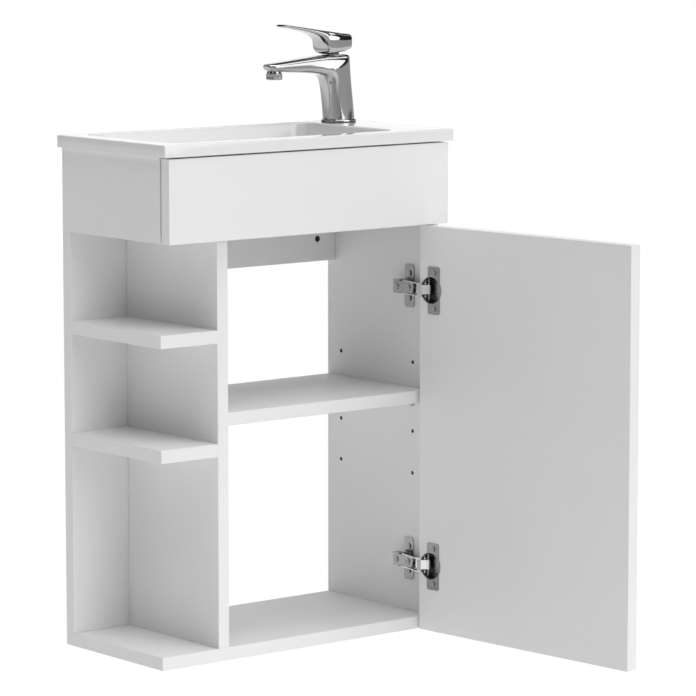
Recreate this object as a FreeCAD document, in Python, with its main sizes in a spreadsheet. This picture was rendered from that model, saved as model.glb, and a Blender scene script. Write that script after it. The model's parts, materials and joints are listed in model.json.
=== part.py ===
"""Wall-hung cloakroom vanity: slim-rimmed basin and mixer on a white board carcass.

Frame: origin on the wall plane, centred across the carcass, half a board above its
underside. +X to the right, +Y into the wall, +Z up, millimetres. Heights below are taken
from the underside, and the datum drop is applied when a node is placed. The door is drawn
open, on its stop.
"""
import FreeCAD, Part
import math
import os
import re

import Sketcher

V = FreeCAD.Vector
UP = V(0, 0, 1)

DIMENSIONS = {
    # carcass
    "carcass_width": 435, "carcass_depth": 203, "carcass_height": 623, "board": 16, "datum_drop": 8,
    "board_edge": 0.6, "column_width": 85, "box_floor": 519, "upper_shelf_height": 392.5,
    "lower_shelf_height": 253.5, "middle_shelf_height": 290, "shelf_play": 0.5,
    "shelf_setback": 2.5, "rail_height": 456.5, "rail_width": 80, "wall_hole_inset": 30,
    "wall_hole_rise": 29, "wall_hole_radius": 4, "dowel_radius": 4, "dowel_length": 30, "dowel_face": 11,
    "pin_radius": 2.5, "pin_row_front": 30.4, "pin_row_rear": 175.4, "pin_reach": 8, "collar_drop": 1.7,
    "pin_hole_depth": 10,
    # fascia and its brackets
    "front_gap": 3, "fascia_width": 102, "bracket_leg": 20, "bracket_sheet": 1.5,
    "bracket_length": 30, "bracket_height": 556, "wood_screw_radius": 1.75, "screw_head_radius": 3.4,
    # door
    "door_width": 355, "door_height": 517.5, "door_angle": 95, "corner_inset": 32.5,
    "corner_lead": 2.8, "hinge_low": 84, "hinge_high": 436,
    # hinge
    "cup_radius": 17.5, "cup_depth": 12.6, "cup_wall": 0.6, "cup_setback": 20.5, "flange_shift": 4.5,
    "flange_sheet": 0.8, "flange_half_length": 30.2, "flange_half_width": 10.5, "flange_corner": 3,
    "cup_screw_offset": 22.5, "short_pin_setback": 10.6, "short_pin_depth": 5.8,
    "long_pin_setback": 8.2, "long_pin_depth": 2, "short_link_turn": 59,
    "long_link_length": 40.936, "long_link_rest": -91.1, "rear_pivot_inset": 13.36,
    "rear_pivot_depth": 30.71, "arm_pin_radius": 1.5, "short_pin_radius": 1.25,
    "long_pin_radius": 1, "pin_play": 0.05, "open_pivot_radius": 2.4, "strip": 1.2,
    "short_link_half": 5.9, "short_link_wide": 7.2, "ear_inner": 6.2, "ear_outer": 7.2,
    "cheek_inner": 7.5, "cheek_outer": 8.5, "arm_standoff": 17, "arm_sheet": 1.4, "arm_rear": 49,
    "plate_line": 36, "plate_half_length": 27.5, "plate_half_width": 9, "plate_sheet": 1.5,
    "plate_screw_spacing": 32, "arm_screw_line": 43, "saddle_height": 7,
    "adjuster_line": 19.5, "short_pin_half": 13.45, "long_pin_end": 11.35,
    # basin
    "basin_width": 450, "basin_depth": 224, "basin_edge": 15, "basin_corner": 3,
    "bowl_left": 28.5, "bowl_right": 75.5, "bowl_front": 23, "bowl_rear": 15,
    "bowl_depth": 78, "bowl_draft": 10, "bowl_wall": 6, "bowl_floor": 8,
    "bowl_corner": 20, "bowl_foot": 14, "bowl_lip": 2.5,
    # waste
    "waste_radius": 22.5, "waste_flange_radius": 31, "waste_flange": 3, "waste_tube_radius": 20,
    "waste_bore_radius": 17, "tail_radius": 16, "tail_bore_radius": 14.4, "waste_length": 38,
    "plug_radius": 30,
    # tap
    "tap_inset": 27, "tap_wall_distance": 36, "tap_hole_radius": 17.5, "tap_lean": 9.6,
    "tap_base_radius": 22.8, "tap_foot_radius": 19.9, "tap_top_radius": 19, "tap_height": 87,
    "spout_reach": 119, "spout_end_radius": 11.5, "spout_edge": 3,
    "aerator_reach": 105, "aerator_radius": 10.5, "cartridge_radius": 13.9,
    "cartridge_seat": 58, "head_radius": 19.2, "head_floor": 89.5, "lift_axis": 92.5,
    "rotor_neck_radius": 8, "rotor_top": 95, "hollow_top": 98.8,
}

doc = FreeCAD.newDocument("vanity")
sheet = doc.addObject("Spreadsheet::Sheet", "Dims")
for row, (alias, value) in enumerate(DIMENSIONS.items(), start=1):
    sheet.set(f"A{row}", alias)
    sheet.set(f"B{row}", str(value))
    sheet.setAlias(f"B{row}", alias)
doc.recompute()

NODES = {}


# ---------------------------------------------------------------- helpers
def bind(text):
    """Point the words of an expression at the sheet's cells."""
    def cell(match):
        word = match.group(0)
        return f"Dims.{word}" if word in DIMENSIONS else word
    return re.sub(r"[a-z_]+", cell, str(text))


def size(text):
    """The value of an expression, as a plain number."""
    result = sheet.evalExpression(bind(text))
    return float(getattr(result, "Value", result))


def keep(label, item, place=None):
    """Name a finished node and put it in the row's frame."""
    place = place or FreeCAD.Placement()
    item.Label = label
    item.Placement = FreeCAD.Placement(place.Base - V(0, 0, size("datum_drop")), place.Rotation)
    NODES[label] = item


def set_base(item, corner):
    for axis, text in zip("xyz", corner):
        item.setExpression(f"Placement.Base.{axis}", bind(text))


def box(name, corner, sides):
    item = doc.addObject("Part::Box", name)
    for key, text in zip(("Length", "Width", "Height"), sides):
        item.setExpression(key, bind(text))
    set_base(item, corner)
    return item


TURNS = {
    "x": FreeCAD.Rotation(V(0, 1, 0), 90), "y": FreeCAD.Rotation(V(1, 0, 0), -90),
    "z": FreeCAD.Rotation(), "-z": FreeCAD.Rotation(V(1, 0, 0), 180),
    "-x": FreeCAD.Rotation(V(0, 1, 0), -90), "-y": FreeCAD.Rotation(V(1, 0, 0), 90),
}


def cylinder(name, start, axis, radius, length):
    """A cylinder from its start point along an axis."""
    item = doc.addObject("Part::Cylinder", name)
    item.Placement = FreeCAD.Placement(V(), TURNS[axis])
    item.setExpression("Radius", bind(radius))
    item.setExpression("Height", bind(length))
    set_base(item, start)
    return item


def cone(name, start, axis, radius_start, radius_end, length):
    item = doc.addObject("Part::Cone", name)
    item.Placement = FreeCAD.Placement(V(), TURNS[axis])
    item.setExpression("Radius1", bind(radius_start))
    item.setExpression("Radius2", bind(radius_end))
    item.setExpression("Height", bind(length))
    set_base(item, start)
    return item


def fuse(name, items):
    item = doc.addObject("Part::MultiFuse", name)
    item.Shapes = items
    return item


def cut(name, base, tools):
    tool = tools[0] if len(tools) == 1 else fuse(f"{name}_tools", tools)
    item = doc.addObject("Part::Cut", name)
    item.Base = base
    item.Tool = tool
    return item


def group(name, items):
    """Separate solids that share one node."""
    item = doc.addObject("Part::Compound", name)
    item.Links = items
    return item


def eased(name, base, radius="board_edge"):
    """Every edge of a plain board lightly rounded."""
    doc.recompute()
    item = doc.addObject("Part::Fillet", name)
    item.Base = base
    item.Edges = [(i + 1, size(radius), size(radius)) for i in range(len(base.Shape.Edges))]
    return item


def board(name, corner, sides):
    return eased(f"{name}_eased", box(f"{name}_blank", corner, sides))


def sketch(body, role, name, lift="0"):
    plane = [f for f in body.Origin.OriginFeatures if f.Role == role][0]
    item = body.newObject("Sketcher::SketchObject", name)
    item.AttachmentSupport = [(plane, "")]
    item.MapMode = "FlatFace"
    item.setExpression("AttachmentOffset.Base.z", bind(lift))
    return item


def measure(item, kind, text, *ends):
    index = item.addConstraint(Sketcher.Constraint(kind, *ends, size(text)))
    item.setExpression(f"Constraints[{index}]", bind(text))


def draw_circle(item, x, y, radius):
    index = item.addGeometry(Part.Circle(V(size(x), size(y), 0), UP, size(radius)))
    measure(item, "Radius", radius, index)
    measure(item, "DistanceX", x, -1, 1, index, 3)
    measure(item, "DistanceY", y, -1, 1, index, 3)


def draw_outline(item, points):
    """A closed outline of straight runs whose corners are bound to the sheet."""
    spots = [V(size(x), size(y), 0) for x, y in points]
    first = item.GeometryCount
    for i, spot in enumerate(spots):
        item.addGeometry(Part.LineSegment(spot, spots[(i + 1) % len(spots)]))
    for i, (x, y) in enumerate(points):
        follower = first + (i + 1) % len(points)
        item.addConstraint(Sketcher.Constraint("Coincident", first + i, 2, follower, 1))
        measure(item, "DistanceX", x, -1, 1, first + i, 1)
        measure(item, "DistanceY", y, -1, 1, first + i, 1)


def draw_box(item, left, low, right, high):
    draw_outline(item, [(left, low), (right, low), (right, high), (left, high)])


def feature(body, kind, name, profile, **settings):
    item = body.newObject(f"PartDesign::{kind}", name)
    item.Profile = profile
    for key, text in settings.items():
        if isinstance(text, str) and key in ("Length", "TaperAngle"):
            item.setExpression(key, bind(text))
        else:
            setattr(item, key, text)
    doc.recompute()
    return item


def edges_of(item, test):
    return [f"Edge{i}" for i, edge in enumerate(item.Shape.Edges, start=1) if test(edge)]


def soften(body, name, base, radius, test):
    item = body.newObject("PartDesign::Fillet", name)
    item.Base = (base, edges_of(base, test))
    item.setExpression("Radius", bind(radius))
    doc.recompute()
    return item


def revolved(name, points):
    """A body of revolution about Z from an outline of radius and height."""
    body = doc.addObject("PartDesign::Body", name)
    outline = sketch(body, "XZ_Plane", f"{name}_outline")
    draw_outline(outline, points)
    spin = body.newObject("PartDesign::Revolution", f"{name}_spin")
    spin.Profile = outline
    spin.ReferenceAxis = (outline, ["V_Axis"])
    spin.Angle = 360
    return body


def level(edge, height):
    low, high = edge.BoundBox.ZMin, edge.BoundBox.ZMax
    return abs(low - height) < 0.01 and abs(high - height) < 0.01


# ---------------------------------------------------------------- carcass
LEFT = "-carcass_width / 2"
RIGHT = "carcass_width / 2"
RIGHT_FACE = "(carcass_width / 2 - board)"
DIVIDER = "(column_width - carcass_width / 2)"
DIVIDER_FACE = "(column_width + board - carcass_width / 2)"
FRONT = "-carcass_depth"

boards = {
    "bottom_panel": ((LEFT, FRONT, "0"), ("carcass_width - board", "carcass_depth", "board")),
    "right_side_panel": ((RIGHT_FACE, FRONT, "0"), ("board", "carcass_depth", "carcass_height")),
    "divider_panel": ((DIVIDER, FRONT, "board"), ("board", "carcass_depth", "box_floor")),
    "left_back_panel": ((LEFT, "-board", "board"), ("column_width", "board", "box_floor - board")),
    "upper_left_side_panel": ((LEFT, FRONT, "box_floor"),
                              ("board", "carcass_depth", "carcass_height - box_floor")),
    "top_left_panel": ((f"{LEFT} + board", FRONT, "box_floor"),
                       ("column_width - board", "carcass_depth", "board")),
    "upper_open_shelf": ((LEFT, FRONT, "upper_shelf_height"),
                         ("column_width", "carcass_depth - board", "board")),
    "lower_open_shelf": ((LEFT, FRONT, "lower_shelf_height"),
                         ("column_width", "carcass_depth - board", "board")),
    "rear_rail": ((DIVIDER_FACE, "-board", "rail_height"),
                  (f"{RIGHT_FACE} - {DIVIDER_FACE}", "board", "rail_width")),
}

# Each row: the point where the boards meet and the way from the face board to the edge board.
dowel_rows = []
for y in ("-carcass_depth + 35", "-35"):
    dowel_rows += [
        ((RIGHT_FACE, y, "board / 2"), "-x"),
        ((f"{DIVIDER} + board / 2", y, "board"), "z"),
        ((f"{LEFT} + board", y, "box_floor + board / 2"), "x"),
        ((DIVIDER, y, "box_floor + board / 2"), "-x"),
    ]
for height in ("upper_shelf_height", "lower_shelf_height"):
    for y in ("-carcass_depth + 35", "-board - 30"):
        dowel_rows.append(((DIVIDER, y, f"{height} + board / 2"), "-x"))
    dowel_rows.append(((f"{LEFT} + column_width / 2", "-board", f"{height} + board / 2"), "-y"))
for height in ("board + 60", "box_floor - 80"):
    dowel_rows.append(((DIVIDER, "-board / 2", height), "-x"))
for height in ("rail_height + 16", "rail_height + rail_width - 16"):
    dowel_rows.append(((RIGHT_FACE, "-board / 2", height), "-x"))
    dowel_rows.append(((DIVIDER_FACE, "-board / 2", height), "x"))
for offset in ("20", "column_width - 24"):
    dowel_rows.append(((f"{LEFT} + {offset}", "-board / 2", "board"), "z"))
for offset in ("board / 2", "column_width - 24"):
    dowel_rows.append(((f"{LEFT} + {offset}", "-board / 2", "box_floor"), "-z"))


def dowel(index, meeting, way):
    """A dowel that starts in the face board and runs on into the edge board."""
    start = list(meeting)
    back = "+" if way.startswith("-") else "-"
    start["xyz".index(way[-1])] += f" {back} dowel_face"
    return cylinder(f"dowel_{index}", start, way, "dowel_radius", "dowel_length")


dowel_items = [dowel(i, *row) for i, row in enumerate(dowel_rows)]
dowel_tools = group("dowel_tools", dowel_items)
keep("dowels", group("dowel_set", dowel_items))


def wall_hole(name, x):
    return cylinder(name, (x, "-board - 1", "rail_height + wall_hole_rise"), "y",
                    "wall_hole_radius", "board + 2")


wall_holes = [
    wall_hole("wall_hole_right", f"{RIGHT_FACE} - wall_hole_inset"),
    wall_hole("wall_hole_left", f"{DIVIDER_FACE} + wall_hole_inset"),
]

# Shelf pins: two rows a side; the shelf stands on the second hole from the top.
USED_PIN = "middle_shelf_height - pin_radius"
PIN_HEIGHTS = [USED_PIN, f"{USED_PIN} + 50.7", f"{USED_PIN} - 38", f"{USED_PIN} - 92"]
PIN_ROWS = [f"{FRONT} + pin_row_front", f"{FRONT} + pin_row_rear"]


def pin_holes(side, face, axis):
    return [cylinder(f"pin_hole_{side}_{i}_{j}", (face, y, z), axis, "pin_radius", "pin_hole_depth")
            for i, y in enumerate(PIN_ROWS) for j, z in enumerate(PIN_HEIGHTS)]


extra_tools = {
    "rear_rail": wall_holes,
    "right_side_panel": pin_holes("right", RIGHT_FACE, "x"),
    "divider_panel": pin_holes("left", DIVIDER_FACE, "-x"),
}

# ---------------------------------------------------------------- hinge plates on the right panel
HINGES = {"low": "hinge_low", "high": "hinge_high"}


def plate_screw_heights(height):
    return [f"{height} + plate_screw_spacing / 2", f"{height} - plate_screw_spacing / 2"]


plates = []
plate_screws = []
for side, height in HINGES.items():
    wing = box(f"wing_{side}", (f"{RIGHT_FACE} - plate_sheet", f"{FRONT} + plate_line - plate_half_width",
                                f"{height} - plate_half_length"),
               ("plate_sheet", "2 * plate_half_width", "2 * plate_half_length"))
    rounded = doc.addObject("Part::Fillet", f"wing_rounded_{side}")
    rounded.Base = wing
    doc.recompute()
    rounded.Edges = [(i, 4, 4) for i, edge in enumerate(wing.Shape.Edges, start=1)
                     if edge.BoundBox.XLength > 1 and edge.BoundBox.ZLength < 0.01]
    saddle = box(f"saddle_{side}", (f"{RIGHT_FACE} - saddle_height", f"{FRONT} + 17", f"{height} - 6"),
                 ("saddle_height", "30", "12"))
    blank = fuse(f"plate_blank_{side}", [rounded, saddle])
    holes = []
    for i, screw_height in enumerate(plate_screw_heights(height)):
        centre = (f"{RIGHT_FACE} - plate_sheet - 1.6", f"{FRONT} + plate_line", screw_height)
        head = cone(f"plate_screw_head_{side}_{i}", centre, "x", "3.6", "wood_screw_radius", "3.1")
        shank = cylinder(f"plate_screw_shank_{side}_{i}", centre, "x", "wood_screw_radius", "14.5")
        screw = fuse(f"plate_screw_body_{side}_{i}", [head, shank])
        slot_a = box(f"plate_slot_a_{side}_{i}", (f"{RIGHT_FACE} - plate_sheet - 1.7",
                     f"{FRONT} + plate_line - 2.2", f"{screw_height} - 0.4"), ("1", "4.4", "0.8"))
        slot_b = box(f"plate_slot_b_{side}_{i}", (f"{RIGHT_FACE} - plate_sheet - 1.7",
                     f"{FRONT} + plate_line - 0.4", f"{screw_height} - 2.2"), ("1", "0.8", "4.4"))
        plate_screws.append(cut(f"plate_screw_{side}_{i}", screw, [slot_a, slot_b]))
        holes.append(screw)
    holes.append(cylinder(f"plate_thread_{side}", (f"{RIGHT_FACE} - 8", f"{FRONT} + arm_screw_line", height),
                          "x", "2", "8"))
    plates.append(cut(f"plate_{side}", blank, holes))
keep("hinge_mounting_plates", group("plate_set", plates))
keep("hinge_plate_screws", group("plate_screw_set", plate_screws))
extra_tools["right_side_panel"] += [
    cylinder(f"plate_pilot_{side}_{i}", (RIGHT_FACE, f"{FRONT} + plate_line", z), "x",
             "wood_screw_radius", "11.4")
    for side, height in HINGES.items() for i, z in enumerate(plate_screw_heights(height))]

# ---------------------------------------------------------------- fascia and brackets
BACK_OF_FASCIA = f"({FRONT} - front_gap)"
FASCIA_CORNER = (LEFT, f"{BACK_OF_FASCIA} - board", "box_floor")

brackets = []
bracket_screws = []
fascia_pilots = []
side_pilots = {"right_side_panel": [], "upper_left_side_panel": []}
for side, face, sign in (("left", f"({LEFT} + board)", 1), ("right", RIGHT_FACE, -1)):
    step = "+" if sign > 0 else "-"
    outer = face if sign > 0 else f"{face} - bracket_sheet"
    wide = face if sign > 0 else f"{face} - bracket_leg"
    leg_side = box(f"bracket_side_{side}", (outer, BACK_OF_FASCIA, "bracket_height"),
                   ("bracket_sheet", "bracket_leg + front_gap", "bracket_length"))
    leg_front = box(f"bracket_front_{side}", (wide, BACK_OF_FASCIA, "bracket_height"),
                    ("bracket_leg", "bracket_sheet", "bracket_length"))
    middle = "bracket_height + bracket_length / 2"
    into_side = "x" if sign < 0 else "-x"
    side_start = (f"{face} {step} bracket_sheet", f"{FRONT} + 12", middle)
    side_hole = cylinder(f"bracket_side_hole_{side}", (f"{face} {step} 3", f"{FRONT} + 12", middle),
                         into_side, "wood_screw_radius", "3")
    front_start = (f"{face} {step} 12", f"{BACK_OF_FASCIA} + bracket_sheet", middle)
    front_hole = cylinder(f"bracket_front_hole_{side}",
                          (f"{face} {step} 12", BACK_OF_FASCIA, middle), "y",
                          "wood_screw_radius", "3")
    brackets.append(cut(f"bracket_{side}", fuse(f"bracket_blank_{side}", [leg_side, leg_front]),
                        [side_hole, front_hole]))
    head_a = cylinder(f"bracket_screw_head_a_{side}",
                      (f"{face} {step} (bracket_sheet + 1.5)", f"{FRONT} + 12", middle),
                      into_side, "screw_head_radius", "1.5")
    shank_a = cylinder(f"bracket_screw_shank_a_{side}", side_start, into_side,
                       "wood_screw_radius", "bracket_sheet + 10")
    head_b = cylinder(f"bracket_screw_head_b_{side}",
                      (f"{face} {step} 12", f"{BACK_OF_FASCIA} + bracket_sheet", middle), "y",
                      "screw_head_radius", "0.9")
    shank_b = cylinder(f"bracket_screw_shank_b_{side}",
                       (f"{face} {step} 12", f"{BACK_OF_FASCIA} - 11", middle), "y",
                       "wood_screw_radius", "bracket_sheet + 11")
    bracket_screws += [fuse(f"bracket_screw_a_{side}", [head_a, shank_a]),
                       fuse(f"bracket_screw_b_{side}", [head_b, shank_b])]
    fascia_pilots.append(shank_b)
    owner = "upper_left_side_panel" if sign > 0 else "right_side_panel"
    side_pilots[owner].append(shank_a)
keep("fascia_brackets", group("bracket_set", brackets))
keep("fascia_bracket_screws", group("bracket_screw_set", bracket_screws))
fascia = board("fascia", FASCIA_CORNER, ("carcass_width", "board", "fascia_width"))
keep("fascia_panel", cut("fascia_drilled", fascia, fascia_pilots))

for name, (corner, sides) in boards.items():
    tools = [dowel_tools] + extra_tools.get(name, []) + side_pilots.get(name, [])
    keep(name, cut(f"{name}_drilled", board(name, corner, sides), tools))

keep("middle_shelf", board("middle_shelf",
                           (f"{DIVIDER_FACE} + shelf_play", f"{FRONT} + shelf_setback",
                            "middle_shelf_height"),
                           (f"{RIGHT_FACE} - {DIVIDER_FACE} - 2 * shelf_play",
                            "carcass_depth - 2 * shelf_setback", "board")))

shelf_pins = []
for i, y in enumerate(PIN_ROWS):
    for side, face, axis in (("right", RIGHT_FACE, "-x"), ("left", DIVIDER_FACE, "x")):
        sign = "+" if side == "right" else "-"
        rod = cylinder(f"pin_rod_{side}_{i}", (f"{face} {sign} pin_reach", y, USED_PIN), axis,
                       "pin_radius", "pin_reach * 2")
        collar = cylinder(f"pin_collar_{side}_{i}", (face, y, f"{USED_PIN} - collar_drop"), axis, "4", "1.2")
        shelf_pins.append(fuse(f"pin_{side}_{i}", [rod, collar]))
keep("shelf_pins", group("pin_set", shelf_pins))

# ---------------------------------------------------------------- door, in its own frame
# Door frame: X from the hinge edge along the door, Y from the inner face into the board.
door_turn = FreeCAD.Rotation(UP, size("door_angle") - 180)
door_place = FreeCAD.Placement(
    V(size(f"{RIGHT} - corner_inset"), size(f"{FRONT} - corner_lead"), 0), door_turn)

cup_hole_tools = []
cups = []
cup_screws = []
short_pins = []
long_pins = []
for side, height in HINGES.items():
    cup_hole_tools.append(cylinder(f"cup_bore_{side}", ("cup_setback", "-0.1", height), "y",
                                   "cup_radius", "cup_depth + 0.1"))
    outer = cylinder(f"cup_outer_{side}", ("cup_setback", "-flange_sheet", height), "y",
                     "cup_radius", "cup_depth + flange_sheet")
    flange = box(f"flange_{side}", ("cup_setback + flange_shift - flange_half_width", "-flange_sheet",
                                    f"{height} - flange_half_length"),
                 ("2 * flange_half_width", "flange_sheet", "2 * flange_half_length"))
    flange_round = doc.addObject("Part::Fillet", f"flange_round_{side}")
    flange_round.Base = flange
    doc.recompute()
    corner = size("flange_corner")
    flange_round.Edges = [(i, corner, corner)
                          for i, edge in enumerate(flange.Shape.Edges, start=1)
                          if edge.BoundBox.YLength > 0.5 and edge.BoundBox.XLength < 0.01
                          and edge.BoundBox.ZLength < 0.01]
    inner = cylinder(f"cup_inner_{side}", ("cup_setback", "-flange_sheet - 1", height), "y",
                     "cup_radius - cup_wall", "cup_depth + 1")
    tools = [inner]
    for i, step in enumerate(("+", "-")):
        spot = ("cup_setback + flange_shift", "-flange_sheet - 1.2", f"{height} {step} cup_screw_offset")
        head = cone(f"cup_screw_head_{side}_{i}", spot, "y", "3.5", "wood_screw_radius", "2")
        shank = cylinder(f"cup_screw_shank_{side}_{i}", spot, "y", "wood_screw_radius", "13")
        screw = fuse(f"cup_screw_body_{side}_{i}", [head, shank])
        slot_a = box(f"cup_slot_a_{side}_{i}", ("cup_setback + flange_shift - 2", "-flange_sheet - 1.3",
                     f"{height} {step} cup_screw_offset - 0.4"), ("4", "0.9", "0.8"))
        slot_b = box(f"cup_slot_b_{side}_{i}", ("cup_setback + flange_shift - 0.4", "-flange_sheet - 1.3",
                     f"{height} {step} cup_screw_offset - 2"), ("0.8", "0.9", "4"))
        cup_screws.append(cut(f"cup_screw_{side}_{i}", screw, [slot_a, slot_b]))
        tools.append(screw)
        cup_hole_tools.append(cylinder(f"cup_pilot_{side}_{i}",
                                       ("cup_setback + flange_shift", "-0.1",
                                        f"{height} {step} cup_screw_offset"),
                                       "y", "wood_screw_radius", "11.2"))
    short_pin = cylinder(f"short_pin_{side}", ("short_pin_setback", "short_pin_depth",
                         f"{height} - short_pin_half"), "z", "short_pin_radius", "2 * short_pin_half")
    short_pins.append(short_pin)
    tools.append(short_pin)
    for i, step in enumerate(("+ ear_outer", "- long_pin_end")):
        stub = cylinder(f"long_pin_{side}_{i}", ("long_pin_setback", "long_pin_depth",
                        f"{height} {step}"), "z", "long_pin_radius", "long_pin_end - ear_outer")
        long_pins.append(stub)
        tools.append(stub)
    cups.append(cut(f"cup_{side}", fuse(f"cup_blank_{side}", [outer, flange_round]), tools))

door_body = doc.addObject("PartDesign::Body", "door_body")
door_outline = sketch(door_body, "XY_Plane", "door_outline")
draw_box(door_outline, "0", "0", "door_width", "board")
door_pad = feature(door_body, "Pad", "door_pad", door_outline, Length="door_height")
soften(door_body, "door_easing", door_pad, "board_edge", lambda edge: True)
door_drilled = cut("door_drilled", door_body, cup_hole_tools)
keep("door_panel", door_drilled, door_place)
keep("hinge_cups", group("cup_set", cups), door_place)
keep("hinge_cup_screws", group("cup_screw_set", cup_screws), door_place)
keep("hinge_short_link_pins", group("short_pin_set", short_pins), door_place)
keep("hinge_long_link_pins", group("long_pin_set", long_pins), door_place)


# ---------------------------------------------------------------- hinge links
def door_point(along, deep, opening):
    """A point of the door, in plan, from its closed (0) and open (1) poses."""
    if opening:
        return door_place.multVec(V(size(along), size(deep), 0))
    return V(size(f"{RIGHT} - {along}"), size(f"{FRONT} - front_gap - {deep}"), 0)


closed_pin = door_point("short_pin_setback", "short_pin_depth", 0)
open_pin = door_point("short_pin_setback", "short_pin_depth", 1)
chord = open_pin - closed_pin
short_turn = math.radians(size("short_link_turn"))
short_length = chord.Length / (2 * math.sin(short_turn / 2))
sagitta = chord.Length / 2 / math.tan(short_turn / 2)
front_pivot = (closed_pin + open_pin) / 2 + V(chord.y, -chord.x, 0).normalize() * sagitta
short_rest = math.degrees(math.atan2(open_pin.y - front_pivot.y, open_pin.x - front_pivot.x))
long_pin_open = door_point("long_pin_setback", "long_pin_depth", 1)
long_rest = size("long_link_rest")
rear_pivot = V(size(f"{RIGHT_FACE} - rear_pivot_inset"), size(f"{FRONT} + rear_pivot_depth"), 0)


def run(start, end, half_width):
    """A flat bar with round ends between two plan points."""
    along = (end - start).normalize()
    side = V(-along.y, along.x, 0) * half_width
    ahead = along * half_width
    outline = [Part.LineSegment(start + side, end + side),
               Part.Arc(end + side, end + ahead, end - side),
               Part.LineSegment(end - side, start - side),
               Part.Arc(start - side, start - ahead, start + side)]
    return Part.Face(Part.Wire([piece.toShape() for piece in outline]))


def plate_of(runs, eyes, holes, low, high):
    """Bars and eyes in one plan, thickened between two heights, with holes through."""
    flat = [run(V(*a, 0), V(*b, 0), half) for a, b, half in runs]
    flat += [Part.Face(Part.Wire(Part.makeCircle(radius, V(x, y, 0)))) for x, y, radius in eyes]
    thick = [face.extrude(V(0, 0, high - low)) for face in flat]
    bores = [Part.makeCylinder(radius, high - low, V(x, y, 0)) for x, y, radius in holes]
    solid = thick[0].fuse(thick[1:]).removeSplitter().cut(bores)
    solid.translate(V(0, 0, low))
    return solid.Solids[0]


def path_runs(points, half):
    return [(a, b, half) for a, b in zip(points, points[1:])]


half_strip = size("strip / 2")
short_path = [(0, 0), (0.6, -5), (5, -11.8), (8.6, -12.2), (13.55, -9.05), (15.1, -5), (short_length, 0)]
wide_path = [(1.5, -6.2), (5, -11.8), (8.6, -12.2), (13.55, -9.05)]
short_shapes = []
long_length = size("long_link_length")
neck = [(32.5, -8), (37.6, -8.4), (39.9, -6.4), (40.35, -3.2), (long_length, 0)]
long_runs = [((0, 0), (14, -3), 2.6), ((14, -3), (32.5, -8), 1.8)] + path_runs(neck, half_strip)
long_shapes = []
for height in (size("hinge_low"), size("hinge_high")):
    half = size("short_link_half")
    eyes = [(0, 0, 2.5), (short_length, 0, 2.3)]
    holes = [(0, 0, size("arm_pin_radius + pin_play")),
             (short_length, 0, size("short_pin_radius + pin_play"))]
    narrow = plate_of(path_runs(short_path, half_strip), eyes, holes, height - half, height + half)
    wide_half = size("short_link_wide")
    wide = plate_of(path_runs(wide_path, half_strip), [], [], height - wide_half, height + wide_half)
    short_shapes.append(narrow.fuse(wide).removeSplitter().Solids[0])
    eyes = [(0, 0, 3.9), (long_length, 0, 1.9)]
    holes = [(0, 0, size("open_pivot_radius")),
             (long_length, 0, size("long_pin_radius + pin_play"))]
    for low in (size("cheek_inner"), -size("cheek_outer")):
        long_shapes.append(plate_of(long_runs, eyes, holes, height + low,
                                    height + low + size("cheek_outer - cheek_inner")))


def shaped(name, shapes):
    item = doc.addObject("Part::Feature", name)
    item.Shape = Part.makeCompound(shapes)
    return item


long_axis = V(math.cos(math.radians(long_rest)), math.sin(math.radians(long_rest)), 0)
keep("hinge_short_links", shaped("short_links", short_shapes),
     FreeCAD.Placement(front_pivot, FreeCAD.Rotation(UP, short_rest)))
keep("hinge_long_links", shaped("long_links", long_shapes), FreeCAD.Placement(
    long_pin_open - long_axis * long_length, FreeCAD.Rotation(UP, long_rest)))

# ---------------------------------------------------------------- hinge arms, fixed to the plates
pivot_inset = size(RIGHT_FACE) - front_pivot.x
arm_foot = size("saddle_height")
web_top = size("arm_standoff")
web_under = size("arm_standoff - arm_sheet")
arm_rear = size("arm_rear")
ear_in, ear_out = size("ear_inner"), size("ear_outer")
cheek_out = 8.6
cheek_start = 37
web_start = 11
nose = 2.4
nose_depth = 0.5


def slab(height, outline, low, high):
    """An outline given as distances from the side panel and from the carcass front."""
    spots = [V(size(RIGHT_FACE) - a, size(FRONT) + b, height + low) for a, b in outline]
    return Part.Face(Part.makePolygon(spots + spots[:1])).extrude(V(0, 0, high - low))


def machine_screw(height, line, length):
    """A cross-slotted screw standing in the arm's web."""
    start = V(size(RIGHT_FACE) - web_top - 1.4, size(FRONT) + line, height)
    head = Part.makeCylinder(4, 1.4, start, V(1, 0, 0))
    shank = Part.makeCylinder(2, length, start, V(1, 0, 0))
    slots = [Part.makeBox(0.8, 5, 0.9, start + V(0, -2.5, -0.45)),
             Part.makeBox(0.8, 0.9, 5, start + V(0, -0.45, -2.5))]
    whole = head.fuse(shank)
    return whole, whole.cut(slots)


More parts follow.
